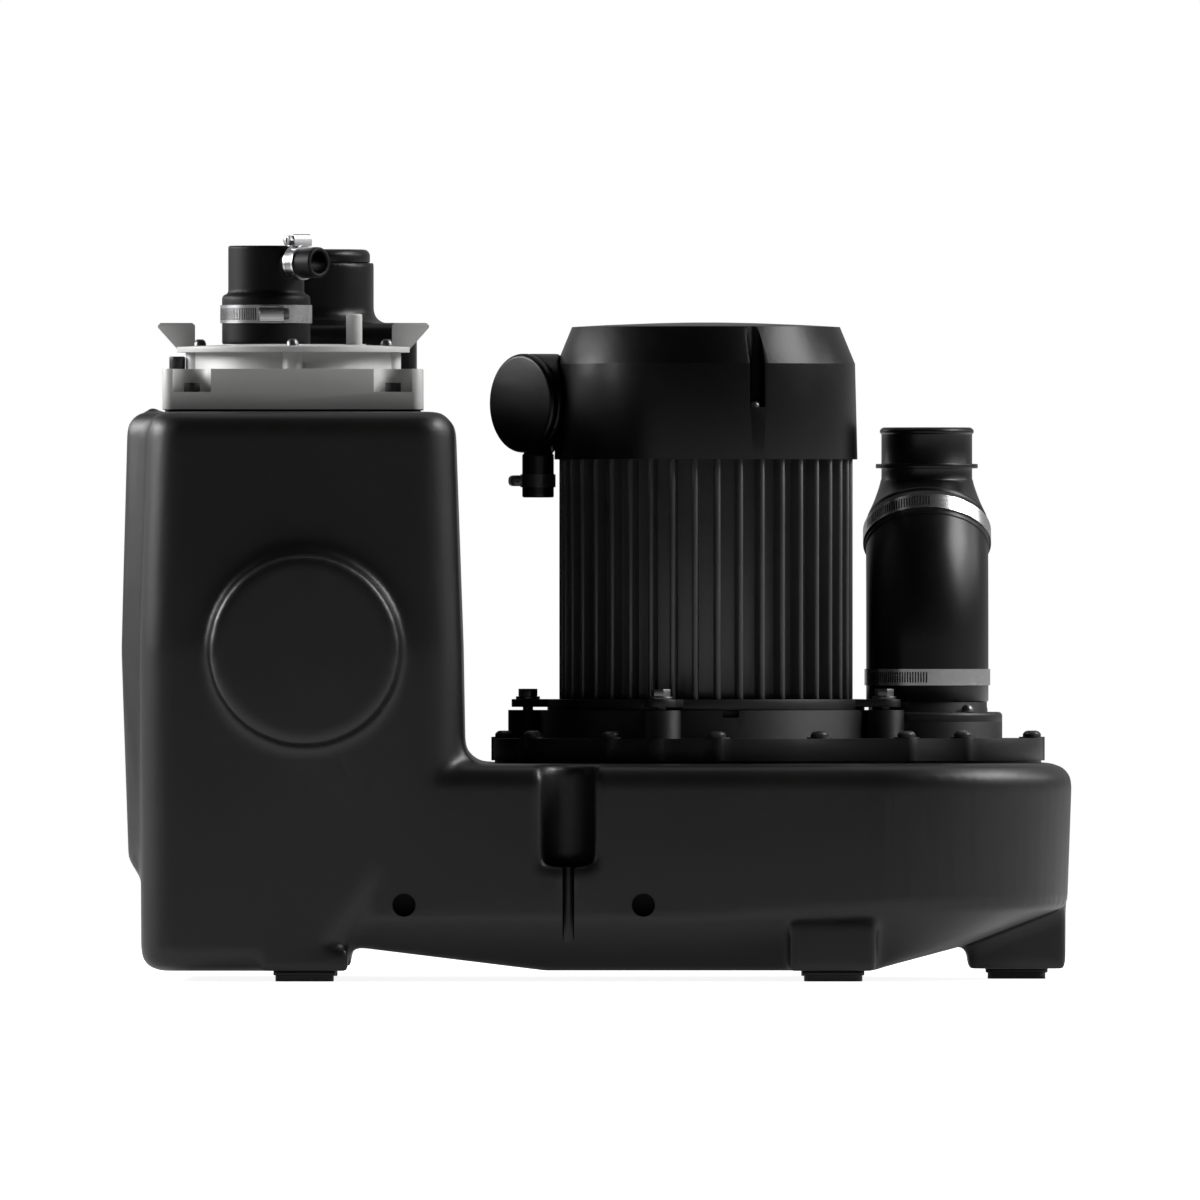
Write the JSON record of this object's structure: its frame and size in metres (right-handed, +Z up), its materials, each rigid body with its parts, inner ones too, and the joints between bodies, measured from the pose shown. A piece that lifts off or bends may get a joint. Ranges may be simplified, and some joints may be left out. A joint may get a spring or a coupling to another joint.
{
  "type": "macerator lifting pump",
  "caption": "Floor-standing collecting tank with an upright finned motor, macerator pump, clamped discharge elbow with check flap, inspection base, vent sleeve and level switch.",
  "frame": {"origin": "middle of the footprint on the floor", "axes": "+X along the tank towards the discharge end, +Y away from the viewer, +Z up"},
  "size_m": [0.5486, 0.446, 0.431],
  "materials": {
    "tank_black": "moulded satin",
    "rubber_black": "soft satin",
    "casting_black": "moulded",
    "housing_dark": "painted extrusion",
    "gloss_black": "semi-gloss",
    "dark_steel": "blackened",
    "steel": "bright",
    "core_iron": "laminated",
    "winding_copper": "lacquered copper",
    "grey_plastic": "light grey",
    "pale_plastic": "pale",
    "wheel_iron": "cast"
  },
  "bodies": {
    "station": {"tank": "tank_black", "foot_pads": "rubber_black", "cover_gasket": "rubber_black", "pump_cover": "casting_black", "cover_bolts": "dark_steel", "volute_casing": "housing_dark", "volute_screws": "steel", "cutting_ring": "steel", "cutting_ring_screws": "steel", "bearing_outer_races": "steel", "bearing_balls": "steel", "shaft_seal": "wheel_iron", "motor_flange": "casting_black", "motor_bolts": "steel", "motor_washers": "steel", "stator_housing": "housing_dark", "stator_core": "core_iron", "stator_winding": "winding_copper", "upper_shield": "housing_dark", "run_capacitor": "pale_plastic", "motor_hood": "gloss_black", "hood_screws": "steel", "terminal_housing": "gloss_black", "terminal_block": "pale_plastic", "terminal_lid": "gloss_black", "cable_nozzle": "rubber_black", "cable_clamp": "dark_steel", "discharge_nozzle": "casting_black", "nozzle_screws": "steel", "discharge_elbow": "rubber_black", "lower_clamp": "steel", "upper_clamp": "steel", "outlet_piece": "casting_black", "flap_pin": "steel", "inspection_base": "grey_plastic", "base_gasket": "rubber_black", "base_screws": "dark_steel", "inspection_cover": "grey_plastic", "cover_seal": "rubber_black", "cover_screws": "steel", "air_nipple": "grey_plastic", "vent_sleeve": "rubber_black", "vent_clamp": "steel", "branch_clamp": "steel", "clamp_screws": "steel", "switch_housing": "gloss_black", "switch_cap": "gloss_black", "switch_gasket": "rubber_black", "level_stem": "steel", "stem_nut": "grey_plastic", "float_stops": "steel", "side_plug": "dark_steel"},
    "rotor": {"motor_shaft": "steel", "rotor_core": "core_iron", "bearing_inner_races": "steel", "impeller": "wheel_iron", "cutter_rotor": "steel", "cutter_screw": "steel"},
    "flap": {"check_flap": "rubber_black"},
    "float": {"level_float": "pale_plastic"}
  },
  "joints": [
    {"name": "rotor_spin", "type": "hinge", "parent": "station", "child": "rotor", "pos_m": [0.0632, 0, 0.2], "axis": [0, 0, 1], "continuous": true},
    {"name": "flap_hinge", "type": "hinge", "parent": "station", "child": "flap", "pos_m": [0.1917, 0.017, 0.2676], "axis": [1, 0, 0], "range_deg": [0, 35]},
    {"name": "float_slide", "type": "slide", "parent": "station", "child": "float", "axis": [0, 0, 1], "range_m": [0, 0.075]}
  ]
}
